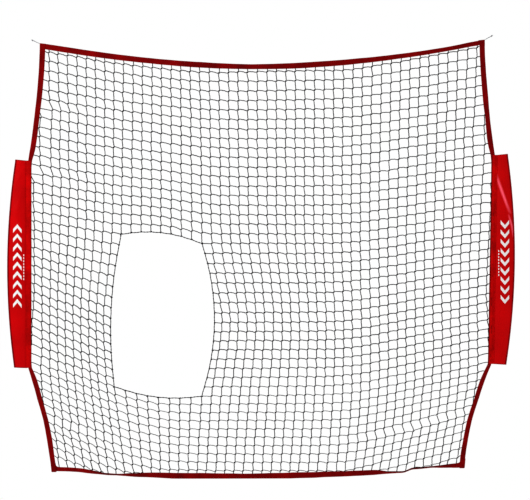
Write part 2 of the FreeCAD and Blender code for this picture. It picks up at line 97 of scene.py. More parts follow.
def slice_of(node, axis, at):
    """The points where a CAD node's edges cross the plane axis = at."""
    spots, links = corners_of(node)
    low, high = spots[links[:, 0]], spots[links[:, 1]]
    below, above = low[:, axis] - at, high[:, axis] - at
    crossing = below * above < 0
    share = (below / (below - above + (below == above)))[crossing, None]
    return low[crossing] + (high[crossing] - low[crossing]) * share


def solids_of(node):
    """A CAD node's separate solids, each as an array of its different corners."""
    spots, links = corners_of(node)
    keys = {}
    name = [keys.setdefault(tuple(spot), len(keys)) for spot in np.round(spots, 5).tolist()]
    root = list(range(len(keys)))

    def top(index):
        while root[index] != index:
            root[index] = root[root[index]]
            index = root[index]
        return index

    for first, last in links.tolist():
        root[top(name[first])] = top(name[last])
    groups = {}
    for spot, index in keys.items():
        groups.setdefault(top(index), []).append(spot)
    return [np.array(group) for group in groups.values()]


def axis_of(solid):
    """The middles of the rings along a straight or once-bent round solid, in the XZ plane."""
    middle = solid.mean(0)
    along = np.linalg.svd(solid - middle, full_matrices=False)[2][0]
    solid = solid[np.argsort((solid - middle) @ along)]
    steps = np.diff((solid - middle) @ along)
    return [ring.mean(0)[[0, 2]] for ring in np.split(solid, np.where(steps > 3 * MM)[0] + 1)]


def lines_of(node, order):
    """A node's straight stretches joined end to end, each line in rising order of one coordinate."""
    stretches = [sorted(axis_of(solid), key=lambda spot: spot[order]) for solid in solids_of(node)]
    stretches.sort(key=lambda rings: rings[0][order])
    lines = []
    for first, *others in stretches:
        for line in lines:
            if np.abs(line[-1] - first).max() < 3 * MM:
                line[-1] = (line[-1] + first) / 2
                line.extend(others)
                break
        else:
            lines.append([first, *others])
    return [np.array(line) for line in lines]


# ============================== making meshes ==============================

def piece(name, verts, faces, material, body, smooth=True):
    """A mesh piece that rides on a body."""
    mesh = bpy.data.meshes.new(name)
    faces = faces if isinstance(faces, list) else faces.tolist()
    mesh.from_pydata(np.asarray(verts).reshape(-1, 3).tolist(), [], faces)
    mesh.update()
    if smooth:
        mesh.polygons.foreach_set("use_smooth", [True] * len(mesh.polygons))
    mesh.materials.append(material)
    made = bpy.data.objects.new(name, mesh)
    bpy.context.scene.collection.objects.link(made)
    if body:
        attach(made, body)
    return made


def quads(rows, sides, closed_rows=False, closed_sides=True):
    """The faces of a grid of points, wrapped round one or both ways."""
    row = np.arange(rows if closed_rows else rows - 1)[:, None]
    side = np.arange(sides if closed_sides else sides - 1)[None, :]
    next_row, next_side = (row + 1) % rows, (side + 1) % sides
    corners = ((row, side), (row, next_side), (next_row, next_side), (next_row, side))
    faces = [one * sides + other for one, other in corners]
    return np.stack(np.broadcast_arrays(*faces), -1).reshape(-1, 4)


def end_caps(rows, sides):
    """The faces that close both ends of a strip whose outline runs out along one face and back."""
    caps = []
    for base, flip in ((0, False), ((rows - 1) * sides, True)):
        for one in range(sides // 2 - 1):
            face = [base + one, base + one + 1, base + sides - 2 - one, base + sides - 1 - one]
            caps.append(face[::-1] if flip else face)
    return np.array(caps)


def many(faces, count, step):
    """The same faces repeated for a number of like pieces."""
    return (faces[None] + (np.arange(count) * step)[:, None, None]).reshape(-1, faces.shape[-1])


def unit(vectors):
    return vectors / np.maximum(np.linalg.norm(vectors, axis=-1, keepdims=True), 1e-12)


def run_of(points):
    """How far along a line each of its points is."""
    return np.concatenate([[0], np.cumsum(np.linalg.norm(np.diff(points, axis=0), axis=1))])


def read_at(at, run, values):
    """Rows of values given along a line, read at other places on it."""
    return np.stack([np.interp(at, run, column) for column in values.T], -1)


def evenly(points, count):
    """A line's points again, evenly spaced along it."""
    run = run_of(points)
    return read_at(np.linspace(0, run[-1], count), run, points)


def tubes(paths, radius, sides, lobes=0.0, strands=3, lay=LAY, closed=False):
    """Round or twisted tubes along many paths of equal length: an array (paths, rings, sides, 3)."""
    if closed:
        ahead, behind = np.roll(paths, -1, axis=1), np.roll(paths, 1, axis=1)
        along = unit(ahead - behind)
    else:
        along = unit(np.gradient(paths, axis=1))
    out = np.broadcast_to(np.array([0.0, -1.0, 0.0]), along.shape)
    across = unit(np.cross(along, out))
    out = unit(np.cross(across, along))
    steps = np.linalg.norm(np.diff(paths, axis=1), axis=2)
    run = np.concatenate([np.zeros((len(paths), 1)), np.cumsum(steps, axis=1)], axis=1)
    turn = run[..., None] * lay / (1 if strands == 3 else 1.5)
    angle = np.arange(sides) * 2 * math.pi / sides
    swell = 1 + lobes * np.cos(strands * angle)
    angle = angle + turn
    ring = (across[:, :, None] * np.cos(angle)[..., None] + out[:, :, None] * np.sin(angle)[..., None])
    return paths[:, :, None] + ring * (np.asarray(radius) * swell)[..., None]


# ============================== materials ==============================

class Shader:
    """A Principled material with a few nodes in front of it."""

    def __init__(self, name, roughness, sheen=0.0, tint=(1, 1, 1)):
        self.material = bpy.data.materials.new(name)
        self.material.use_nodes = True
        self.nodes = self.material.node_tree.nodes
        self.link = self.material.node_tree.links.new
        self.surface = self.nodes["Principled BSDF"]
        self.surface.inputs["Roughness"].default_value = roughness
        self.surface.inputs["Specular IOR Level"].default_value = 0.05
        self.surface.inputs["Sheen Weight"].default_value = sheen
        self.surface.inputs["Sheen Tint"].default_value = (*tint, 1)
        self.place = self.add("ShaderNodeTexCoord").outputs["Object"]

    def add(self, kind, values=None, **settings):
        node = self.nodes.new(kind)
        for name, value in settings.items():
            setattr(node, name, value)
        for socket, value in (values or {}).items():
            if isinstance(value, bpy.types.NodeSocket):
                self.link(value, node.inputs[socket])
            else:
                node.inputs[socket].default_value = value
        return node

    def noise(self, scale, detail=3, stretch=None):
        place = self.place
        if stretch:
            place = self.add("ShaderNodeMapping", {"Vector": self.place, "Scale": stretch}).outputs[0]
        return self.add(
            "ShaderNodeTexNoise", {"Vector": place, "Scale": scale, "Detail": detail}
        ).outputs["Fac"]

    def math(self, operation, first, second=0.0, third=0.0):
        return self.add("ShaderNodeMath", {0: first, 1: second, 2: third}, operation=operation).outputs[0]

    def span(self, value, low, high, to_low=0.0, to_high=1.0):
        node = self.add("ShaderNodeMapRange", {
            "Value": value, "From Min": low, "From Max": high, "To Min": to_low, "To Max": to_high,
        })
        return node.outputs[0]

    def blend(self, share, first, second, mode="MIX"):
        node = self.add("ShaderNodeMix", data_type="RGBA", blend_type=mode)
        for socket, value in ((0, share), (6, first), (7, second)):
            if isinstance(value, bpy.types.NodeSocket):
                self.link(value, node.inputs[socket])
            else:
                node.inputs[socket].default_value = value if socket == 0 else (*value, 1)
        return node.outputs[2]

    def colour(self, socket):
        self.link(socket, self.surface.inputs["Base Color"])

    def rough(self, socket):
        self.link(socket, self.surface.inputs["Roughness"])

    def bump(self, height, distance, strength=1.0):
        node = self.add("ShaderNodeBump", {"Height": height, "Distance": distance, "Strength": strength})
        self.link(node.outputs[0], self.surface.inputs["Normal"])

    def weave(self, thread):
        """The over-and-under of a plain weave, as a height from 0 to 1."""
        split = self.add("ShaderNodeSeparateXYZ", {0: self.place})
        waves = []
        for axis in ("X", "Z"):
            turned = self.math("MULTIPLY", split.outputs[axis], math.pi / thread)
            waves.append(self.math("SINE", turned))
        return self.span(self.math("MULTIPLY", *waves), -1, 1)


def twine_material(name, dark, light):
    shader = Shader(name, 0.7)
    fibre = shader.noise(1400, 4)
    shade = shader.blend(shader.span(shader.noise(45, 2), 0.3, 0.7), dark, light)
    shader.colour(shader.blend(shader.span(fibre, 0.35, 0.75, 0, 0.5), shade, tuple(v * 2.2 for v in light)))
    shader.rough(shader.span(fibre, 0.2, 0.8, 0.6, 0.85))
    shader.bump(fibre, 0.35 * MM, 0.8)
    return shader.material


def tape_material(name, colour):
    """Woven polyester tape, a little darker in patches and paler where it is rubbed."""
    shader = Shader(name, 0.6)
    deep = tuple(v * 0.55 for v in colour)
    patch = shader.span(shader.noise(14, 4), 0.3, 0.72)
    rubbed = shader.span(shader.noise(260, 3), 0.55, 0.8, 0, 0.35)
    shade = shader.blend(patch, deep, colour)
    shader.colour(shader.blend(rubbed, shade, tuple(v * 1.7 + 0.006 for v in colour)))
    weave = shader.weave(0.55 * MM)
    height = shader.math("ADD", weave, shader.noise(300, 3))
    shader.rough(shader.span(weave, 0, 1, 0.68, 0.5))
    shader.bump(height, 0.25 * MM, 0.7)
    return shader.material


def sleeve_material(name, colour, painted_highlights=()):
    """Smooth coated polyester cloth: an even red with a fine weave, with pale pink highlights painted along
    some creases where light would glint.
    """
    shader = Shader(name, 0.5)
    shader.surface.inputs["Specular IOR Level"].default_value = 0.06
    deep = tuple(v * 0.84 for v in colour)
    shade = shader.blend(shader.span(shader.noise(7, 3), 0.3, 0.7), deep, colour)
    split = shader.add("ShaderNodeSeparateXYZ", {0: shader.place})
    # Each painted highlight is a pale pink streak on the front face: (first end, last end, width, bow), the
    # ends as (x, z) in metres.
    for first, last, wide, bowed in painted_highlights:
        way = unit(np.array(last) - np.array(first))
        long = math.dist(first, last)
        east = shader.math("SUBTRACT", split.outputs["X"], first[0])
        north = shader.math("SUBTRACT", split.outputs["Z"], first[1])
        ahead, up = shader.math("MULTIPLY", east, way[0]), shader.math("MULTIPLY", north, way[1])
        run = shader.math("ADD", ahead, up)
        aside, down = shader.math("MULTIPLY", east, way[1]), shader.math("MULTIPLY", north, way[0])
        off = shader.math("SUBTRACT", aside, down)
        arch = shader.math("SINE", shader.math("MULTIPLY", run, math.pi / long))
        bow = shader.math("MULTIPLY", arch, bowed)
        off = shader.math("ABSOLUTE", shader.math("ADD", off, bow))
        place = shader.add("ShaderNodeClamp", {"Value": shader.math("DIVIDE", run, long)}).outputs[0]
        ends = shader.math("SINE", shader.math("MULTIPLY", place, math.pi))
        front = shader.span(split.outputs["Y"], 0.0, -0.001)
        ends = shader.math("POWER", ends, 0.6)
        highlight_mask = shader.math("MULTIPLY", shader.span(off, 0, wide, 1.0, 0.0), ends)
        # Mix in the painted highlight's pale pink.
        shade = shader.blend(shader.math("MULTIPLY", highlight_mask, front), shade, (1.0, 0.18, 0.26))
    shader.colour(shade)
    weave = shader.weave(0.45 * MM)
    shader.rough(shader.span(shader.noise(40, 3), 0.3, 0.7, 0.42, 0.6))
    shader.bump(shader.math("ADD", weave, shader.noise(220, 3)), 0.1 * MM, 0.5)
    return shader.material


def thread_material(name, colour):
    shader = Shader(name, 0.5)
    pale = tuple(v * 1.5 for v in colour)
    shader.colour(shader.blend(shader.span(shader.noise(500, 2), 0.3, 0.7), colour, pale))
    return shader.material


def print_material(name):
    """White screen print, a little uneven over the cloth."""
    shader = Shader(name, 0.55)
    shader.surface.inputs["Specular IOR Level"].default_value = 0.2
    worn = shader.span(shader.noise(350, 4), 0.62, 0.8, 0, 0.5)
    shader.colour(shader.blend(worn, (0.78, 0.76, 0.76), (0.62, 0.42, 0.42)))
    shader.bump(shader.weave(0.45 * MM), 0.06 * MM, 0.4)
    return shader.material


# ============================== the net's lines ==============================

def crossings(uprights, cross_lines):
    """Where every upright meets every cross line: one list of (place on line, knot) per line."""
    knots = []
    along_up = [[] for _ in uprights]
    along_cross = [[] for _ in cross_lines]
    for i, upright in enumerate(uprights):
        for j, cross in enumerate(cross_lines):
            if cross[0][0] > upright[:, 0].max() or cross[-1][0] < upright[:, 0].min():
                continue
            found = meeting(upright, cross)
            if found:
                place_up, place_cross, spot = found
                along_up[i].append((place_up, len(knots)))
                along_cross[j].append((place_cross, len(knots)))
                knots.append(spot)
    return np.array(knots), along_up, along_cross


def meeting(first, second):
    """The place on each of two lines where they cross, and the point."""
    for i in range(len(first) - 1):
        for j in range(len(second) - 1):
            start, other = first[i], second[j]
            way, other_way = first[i + 1] - start, second[j + 1] - other
            turn = way[0] * other_way[1] - way[1] * other_way[0]
            if abs(turn) < 1e-12:
                continue
            gap = other - start
            at = (gap[0] * other_way[1] - gap[1] * other_way[0]) / turn
            other_at = (gap[0] * way[1] - gap[1] * way[0]) / turn
            if -1e-3 <= at <= 1.001 and -1e-3 <= other_at <= 1.001:
                return i + at, j + other_at, start + way * at
    return None


def nearest(points, spot):
    return points[np.argmin(np.linalg.norm(points - spot, axis=1))]


class Net:
    """The knots and the lines through them, first where the frame has them, then settled."""

    def __init__(self, tapes):
        self.tapes = tapes
        uprights = lines_of("vertical_twines", 1)
        cross_lines = lines_of("horizontal_twines", 0)
        knots, along_up, along_cross = crossings(uprights, cross_lines)
        border = corners_of("opening_border_cord")[0][:, [0, 2]]
        self.spots = list(knots)
        self.depth = [0.0] * len(knots)
        self.held = [False] * len(knots)
        self.on_border = [False] * len(knots)
        self.uprights = [self.thread(line, row, border) for line, row in zip(uprights, along_up)]
        self.cross = [self.thread(line, row, border) for line, row in zip(cross_lines, along_cross)]
        self.spots = np.array(self.spots)
        self.held = np.array(self.held)
        self.on_border = np.array(self.on_border)
        self.depth = np.array(self.depth)
        self.settle(20)
        self.spots[~self.held] += self.creased(self.spots[~self.held])
        self.jostle()

    def thread(self, line, row, border):
        """The numbers of the points along one line: an end, its knots in order and an end."""
        row = [number for _, number in sorted(row)]
        ends = []
        for spot, inner in ((line[0], line[1]), (line[-1], line[-2])):
            place, depth = spot + unit(spot - inner) * BORDER_HOLD, 0.0
            tape = min(self.tapes, key=lambda tape: math.dist(nearest(tape.middle, spot), spot))
            on_border = math.dist(nearest(border, spot), spot) < math.dist(nearest(tape.middle, spot), spot)
            if not on_border:
                held = tape.hold(spot)
                place, depth = held[[0, 2]], held[1] - billow(held[[0, 2]])
            ends.append(len(self.spots))
            self.spots.append(place)
            self.depth.append(depth)
            self.held.append(True)
            self.on_border.append(on_border)
        return [ends[0], *row, ends[1]]

    def settle(self, rounds):
        """Let each knot move towards the balance of the four twines that pull on it."""
        pairs = np.array([
            pair for line in self.uprights + self.cross for pair in zip(line, line[1:])
        ])
        first, last = np.concatenate([pairs, pairs[:, ::-1]]).T
        pull = 1 / np.maximum(np.linalg.norm(self.spots[first] - self.spots[last], axis=1), 4 * MM)
        weight = np.zeros(len(self.spots))
        np.add.at(weight, first, pull)
        for _ in range(rounds):
            total = np.zeros_like(self.spots)
            np.add.at(total, first, self.spots[last] * pull[:, None])
            moved = total / np.maximum(weight, 1e-9)[:, None]
            self.spots[~self.held] += 0.7 * (moved - self.spots)[~self.held]

    def creased(self, spots):
        """How far the creases in the cloth of the net push each knot."""
        push = np.zeros_like(spots)
        for crease in CREASES:
            first, last = np.array(crease.first), np.array(crease.last)
            way = unit(last - first)
            below = np.array([way[1], -way[0]])
            if below[1] > 0:
                below = -below
            run = (spots - first) @ way / np.linalg.norm(last - first)
            depth = (spots - first) @ below
            fade = np.clip(1 - np.abs(run - crease.peak) / crease.reach, 0, 1)
            share = np.where(depth > 0, np.exp(-depth / crease.fade), 0)
            push += (fade * share)[:, None] * np.array(crease.shift)
        return push

    def jostle(self):
        """Small slack differences between knots."""
        loose = ~self.held
        self.spots[loose] += rng.normal(0, 0.9 * MM, (loose.sum(), 2))


# A crease runs from one point to another; the net just below it is pushed sideways.
CREASES = [
    SimpleNamespace(first=(-1.045, 1.772), last=(-0.820, 1.742), shift=(0.014, 0.0), fade=0.13,
                    peak=0.0, reach=1.2),
    SimpleNamespace(first=(-1.090, 1.478), last=(-0.800, 1.432), shift=(0.016, 0.003), fade=0.16,
                    peak=0.0, reach=1.1),
    SimpleNamespace(first=(-1.085, 0.580), last=(-0.900, 0.540), shift=(-0.008, 0.0), fade=0.10,
                    peak=0.0, reach=1.2),
    SimpleNamespace(first=(-1.010, 0.276), last=(-0.560, 0.170), shift=(-0.009, -0.002), fade=0.08,
                    peak=0.3, reach=0.8),
    SimpleNamespace(first=(1.010, 0.315), last=(0.330, 0.170), shift=(0.019, -0.004), fade=0.11,
                    peak=0.45, reach=0.62),
    SimpleNamespace(first=(1.090, 1.700), last=(0.900, 1.650), shift=(-0.008, 0.0), fade=0.10,
                    peak=0.0, reach=1.2),
]


def billow(places):
    """How far the hanging net swells towards or away from the viewer at XZ places."""
    x, z = places[..., 0], places[..., 1]
    taut = np.clip(1 - np.abs(x / 1.12) ** 4, 0, 1) * np.clip((2.05 - z) / 0.9, 0, 1)
    wave = np.sin(2.3 * x + 0.7 * z + 0.4) + 0.6 * np.sin(4.1 * x - 1.9 * z + 2.0)
    ripple = 0.35 * np.sin(9.0 * x + 2.0 * z) * np.clip(1 - z / 1.2, 0, 1)
    return (wave + ripple) * taut * BILLOW


def lifted(places, forward=0.0):
    """XZ places as points in space, on the swelling net."""
    return np.stack([places[..., 0], billow(places) - forward, places[..., 1]], -1)


def strand(net, lines, offset, droop, name, material, slack_below=0.0):
    """One family of twines: a twisted tube for each stretch between two knots."""
    paths, depths = [], []
    for line in lines:
        spots = net.spots[line]
        stretches = list(zip(line, line[1:]))
        for number, (first, last) in enumerate(stretches):
            start = spots[number] + (0 if number == 0 else offset)
            finish = spots[number + 1] - (0 if number == len(stretches) - 1 else offset)
            paths.append((start, finish))
            depths.append((net.depth[first], net.depth[last]))
    paths, depths = np.array(paths), np.array(depths)
    share = np.linspace(0, 1, TWINE_RINGS)[None, :, None]
    flat = paths[:, :1] * (1 - share) + paths[:, 1:] * share
    across = unit(np.stack([paths[:, 1, 1] - paths[:, 0, 1], paths[:, 0, 0] - paths[:, 1, 0]], -1))
    slack = rng.normal(droop, 0.5 * MM, (len(paths), 1, 1))
    flat = flat + across[:, None] * slack * 4 * share * (1 - share)
    places = lifted(flat)
    arch = (4 * share * (1 - share))[..., 0]
    held = depths[:, :1] * (1 - share[..., 0]) + depths[:, 1:] * share[..., 0]
    places[..., 1] += rng.normal(0, 0.8 * MM, (len(paths), 1)) * arch + held
    low = np.clip((slack_below - flat[:, :1, 1]) / 0.2, 0, 1)[..., None]
    radius = TWINE * (1 - 0.27 * low) * rng.normal(1, 0.05, low.shape)
    verts = tubes(places, radius, TWINE_SIDES, LOBES)
    step = TWINE_RINGS * TWINE_SIDES
    faces = many(quads(TWINE_RINGS, TWINE_SIDES), len(paths), step)
    return piece(name, verts, faces, material, "net")


def knots(net, material):
    """A knot where two twines cross: a turn and a half of twine drawn tight on the slant."""
    spots = net.spots[~net.held]
    spots = np.concatenate([spots, net.spots[net.on_border]])
    middle = lifted(spots)[:, None]
    share = np.linspace(0, 1, KNOT_RINGS)[None, :]
    slant = rng.normal(math.atan2(KNOT_ARM[1], KNOT_ARM[0]), 0.25, len(spots))
    along = np.stack([np.cos(slant), np.zeros(len(spots)), np.sin(slant)], -1)[:, None]
    aside = np.stack([-np.sin(slant), np.zeros(len(spots)), np.cos(slant)], -1)[:, None]
    angle = rng.uniform(0, 2 * math.pi, (len(spots), 1)) + share * KNOT_TWIST
    coil = KNOT_COIL * np.cos(angle)[..., None] * aside
    coil = coil + KNOT_COIL * np.sin(angle)[..., None] * np.array([0, 1.0, 0])
    path = middle + along * ((share - 0.5) * KNOT_LONG)[..., None] + coil
    verts = tubes(path, TWINE * 1.15, KNOT_SIDES)
    faces = many(quads(KNOT_RINGS, KNOT_SIDES), len(spots), KNOT_RINGS * KNOT_SIDES)
    return piece("net_knots", verts, faces, material, "net")


def border_cord(net, material):
    """The heavier cord round the opening, drawn out a little at each knot."""
    held = net.spots[net.on_border]
    middle = held.mean(0)
    order = np.argsort(np.arctan2(*(held - middle).T[::-1]))
    ring = [held[order[0]]]
    for spot in held[order[1:]]:
        if np.linalg.norm(spot - ring[-1]) < 12 * MM:
            ring[-1] = (ring[-1] + spot) / 2
        else:
            ring.append(spot)
    ring = np.array(ring)
    steps = 8
    share = np.linspace(0, 1, steps, endpoint=False)[None, :, None]
    following = np.roll(ring, -1, axis=0)
    path = ring[:, None] * (1 - share) + following[:, None] * share
    inward = unit(middle - (ring + following) / 2)[:, None]
    path = path + inward * 1.6 * MM * 4 * share * (1 - share)
    places = lifted(path.reshape(1, -1, 2))
    verts = tubes(places, BORDER, 8, 0.2, strands=2, lay=2 * math.pi / 0.02, closed=True)
    made = piece("opening_border", verts, quads(places.shape[1], 8, closed_rows=True),
                 material, "net")
    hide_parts("opening_border_cord")
    return made


# ============================== the folded tapes ==============================

def tape_edges(side):
    """A tape's outer and inner edge, as matching rows of XZ points, read from its CAD strip."""
    node = f"binding_{side}"
    low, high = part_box(node)
    upright = side in ("left", "right")
    axis = 2 if upright else 0
    first, last = low[axis] + 0.6 * MM, high[axis] - 0.6 * MM
    stations = np.linspace(first, last, int((last - first) / TAPE_STEP))
    outer, inner = [], []
    for at in stations:
        cut = slice_of(node, axis, at)
        reach = cut[:, 0 if upright else 2]
        ends = (reach.min(), reach.max())
        out, in_ = ends if side in ("left", "bottom") else ends[::-1]
        outer.append((out, at) if upright else (at, out))
        inner.append((in_, at) if upright else (at, in_))
    return np.array(outer), np.array(inner)


def tape_section():
    """Half of a folded tape's outline: (distance in from the fold, half thickness), as shares."""
    return np.array([
        (0.000, 0.00), (0.010, 0.45), (0.045, 0.82), (0.120, 1.00), (0.230, 0.98), (0.330, 0.80),
        (0.420, 0.66), (0.520, 0.62), (0.640, 0.68), (0.760, 0.66), (0.900, 0.62), (0.985, 0.58),
    ])


TAPE_HALF = 4.0 * MM         # half the tape's thickness where the cord lies in its fold


class Tape:
    """A tape folded over one edge of the net, with the cord in its fold.

    Its lie is a list of (place along it, how far it is pushed outwards in mm, width against the
    flat strip), and where it rolls also (degrees, the share of the width it rolls about).
    """

    def __init__(self, side, lie):
        outer, inner = tape_edges(side)
        self.side = side
        place = outer[:, 0] if side in ("top", "bottom") else outer[:, 1]
        table = np.array([(*row, 0, 0.5)[:5] for row in lie]).T
        push, wide, roll, pivot = (smooth(np.interp(place, table[0], row), 4) for row in table[1:])
        self.inward = unit(inner - outer)
        self.half = np.linalg.norm(inner - outer, axis=1) / 2 * wide
        self.middle = (outer + inner) / 2 - self.inward * push[:, None] * MM
        self.angle = np.radians(roll)
        self.pivot = (pivot - 0.5) * 2 * self.half
        self.run = run_of(self.middle)
        ragged = 1.3 if side == "bottom" else 0.6
        self.wander = smooth(rng.normal(0, 1, len(place)), 9) * ragged * MM
        wave = 0.10 * np.sin(self.run / 0.0215 + rng.uniform(0, 6))
        self.pucker = 1 + wave + rng.normal(0, 0.03, len(place))

    def points(self, across, out, rows=slice(None)):
        """Points at a distance inwards from the tape's middle line and out of the net's plane."""
        turn, pivot = self.angle[rows][:, None], self.pivot[rows][:, None]
        arm = across - pivot
        along = pivot + arm * np.cos(turn) - out * np.sin(turn) + self.wander[rows][:, None]
        depth = arm * np.sin(turn) + out * np.cos(turn)
        flat = self.middle[rows][:, None] + self.inward[rows][:, None] * along[..., None]
        return np.stack([flat[..., 0], billow(self.middle[rows])[:, None] + depth, flat[..., 1]], -1)

    def hold(self, spot):
        """Where in the tape the end of a twine near this XZ spot is held."""
        row = np.argmin(np.linalg.norm(self.middle - spot, axis=1))
        rows = slice(row, row + 1)
        return self.points(0.55 * self.half[rows][:, None], np.zeros((1, 1)), rows)[0, 0]

    def build(self, material):
        section = tape_section()[1:]
        depth = np.concatenate([section[::-1, 0], [0.0], section[:, 0]])
        thick = np.concatenate([-section[::-1, 1], [0.0], section[:, 1]]) * TAPE_HALF
        wide = self.half.mean() * 2
        in_thick = np.sign(thick[::-1]) * np.maximum(np.abs(thick[::-1]) - TAPE_CLOTH, 0.3 * MM)
        in_depth = np.maximum(depth[::-1], TAPE_CLOTH / wide)
        depth, thick = np.concatenate([depth, in_depth]), np.concatenate([thick, in_thick])
        across = (depth[None] - 0.5) * 2 * self.half[:, None]
        verts = self.points(across, thick[None] * self.pucker[:, None])
        count, sides = verts.shape[:2]
        faces = np.concatenate([quads(count, sides), end_caps(count, sides)])
        made = piece(f"tape_{self.side}", verts, faces, material, "net")
        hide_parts(f"binding_{self.side}", f"edge_cord_{self.side}")
        return made

    def stitching(self, material):
        """A row of stitches on both faces."""
        seam = []
        for face in (-1, 1):
            for share in (0.62, 0.86):
                across = (share - 0.5) * 2 * self.half[:, None]
                points = self.points(across, face * 0.67 * TAPE_HALF * self.pucker[:, None])[:, 0]
                normal = np.stack([
                    -self.inward[:, 0] * np.sin(self.angle), np.cos(self.angle),
                    -self.inward[:, 1] * np.sin(self.angle),
                ], -1) * face
                seam.append((points, normal))
        return stitches(f"tape_stitching_{self.side}", seam, material, "net")


def smooth(values, reach):
    window = np.hanning(2 * reach + 1)
    return np.convolve(np.pad(values, reach, mode="edge"), window / window.sum(), mode="valid")


def stitches(name, seam, material, body):
    """Small raised stitches along lines: each line is (points, face direction) in space."""
    box = np.array([(x, y, z) for x in (-1, 1) for y in (-1, 1) for z in (0, 1)], float)
    faces = np.array([(0, 1, 3, 2), (4, 6, 7, 5), (0, 4, 5, 1), (2, 3, 7, 6), (1, 5, 7, 3), (0, 2, 6, 4)])
    verts = []
    for points, face in seam:
        run = run_of(points)
        at = np.arange(STITCH.pitch / 2, run[-1], STITCH.pitch)
        spots, faced = read_at(at, run, points), read_at(at, run, face)
        along = unit(read_at(at + 1 * MM, run, points) - read_at(at - 1 * MM, run, points))
        aside = unit(np.cross(along, faced))
        taper = np.where(box[:, 2] > 0, 0.6, 1.0)
        verts.append(
            spots[:, None]
            + along[:, None] * (box[:, 0] * taper)[None, :, None] * STITCH.length / 2
            + aside[:, None] * (box[:, 1] * taper)[None, :, None] * STITCH.width / 2
            + unit(faced)[:, None] * (box[:, 2] - 0.3)[None, :, None] * STITCH.height
        )
    verts = np.concatenate(verts)
    return piece(name, verts, many(faces, len(verts), 8), material, body, smooth=False)


# ============================== the corner patches ==============================

def corner_patch(end, shift, material):
    """A patch folded over a corner, with a row of stitches just inside its edge."""
    node = f"corner_patch_{end}"
    spots = corners_of(node)[0]
    face = np.unique(np.round(spots[spots[:, 1] < spots[:, 1].min() + 0.01 * MM][:, [0, 2]], 5), axis=0)
    middle = np.array([0.0, 1.06])
    point = face[np.argmax(np.linalg.norm(face - middle, axis=1))]
    sides = sorted(face, key=lambda spot: np.linalg.norm(spot - point))
    low_side = min(sides[1:], key=lambda spot: abs(spot[0] - point[0]))
    far_side = min(sides[1:], key=lambda spot: abs(spot[1] - point[1]))
    down, along = unit(low_side - point), unit(far_side - point)
    high = end.startswith("top")
    reach, wide, curve = (30 * MM, 23.5 * MM, 4 * MM) if high else (44 * MM, 24 * MM, 15 * MM)
    point = point + np.array(shift) * MM
    inner = point + wide * (down + along)
    rise = 1 * MM if high else 6 * MM
    outline = [point, point + reach * down + 1.0 * MM * along, point + reach * down + wide * along,
               inner + curve * down]
    turn = np.linspace(0, 1, 8)[1:-1, None]
    outline += list((1 - turn) ** 2 * (inner + curve * down) + 2 * turn * (1 - turn) * inner
                    + turn ** 2 * (inner + curve * along))
    far = point + reach * along
    outline += [inner + curve * along, far + wide * down, far + rise * down]
    outline = evenly(np.array(outline + [point]), 96)[:-1]
    centre = point + wide / 2 * (down + along)
    shares = np.array([1.0, 0.99, 0.965, 0.92, 0.80, 0.6, 0.4, 0.2, 0.02])
    heights = np.array([0.0, 0.45, 0.75, 0.9, 0.98, 0.97, 0.95, 0.93, 0.93]) * 5.2 * MM
    wrinkle = 0.35 * MM * np.sin(np.arange(95) * 0.55)
    rings = []
    for share, height, front in (
        [(a, b, 1) for a, b in zip(shares[::-1], heights[::-1])]
        + [(a, b, -1) for a, b in zip(shares[1:], heights[1:])]
    ):
        flat = centre + (outline - centre) * share
        out = -front * (height + wrinkle * (0.2 < share < 0.95))
        rings.append(np.stack([flat[:, 0], np.broadcast_to(out, len(flat)), flat[:, 1]], -1))
    rings = np.array(rings)
    count = len(outline)
    faces = quads(len(rings), count).tolist()
    verts = np.concatenate([rings.reshape(-1, 3), rings[0].mean(0)[None], rings[-1].mean(0)[None]])
    last = (len(rings) - 1) * count
    tip, back = len(verts) - 2, len(verts) - 1
    cap = [[i, (i + 1) % count, tip] for i in range(count)]
    cap += [[last + (i + 1) % count, last + i, back] for i in range(count)]
    made = piece(f"corner_{end}", verts, faces + cap, material, "net")
    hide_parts(node)
    seam = []
    loop = centre + (np.concatenate([outline, outline[:1]]) - centre) * 0.90
    for front in (-1, 1):
        points = np.stack([loop[:, 0], np.full(len(loop), front * 4.75 * MM), loop[:, 1]], -1)
        seam.append((points, np.tile([0.0, front, 0.0], (len(loop), 1))))
    stitches(f"corner_stitching_{end}", seam, material, "net")
    return made


# ============================== the pole sleeves ==============================

SLEEVE_STEP = 4 * MM         # spacing of a sleeve's rows
SLEEVE_SIDES = 44            # points across one face of a sleeve
SLEEVE_DEEP = 16.5 * MM      # the furthest that a face stands out
RIM = 1.1 * MM               # radius of the bound rim of a mouth
FLANGE = 10 * MM             # the flat part next to the seam
CLOTH = 1.2 * MM             # thickness of the sleeve's cloth
HEM = 24 * MM                # height of the turned hem at each mouth


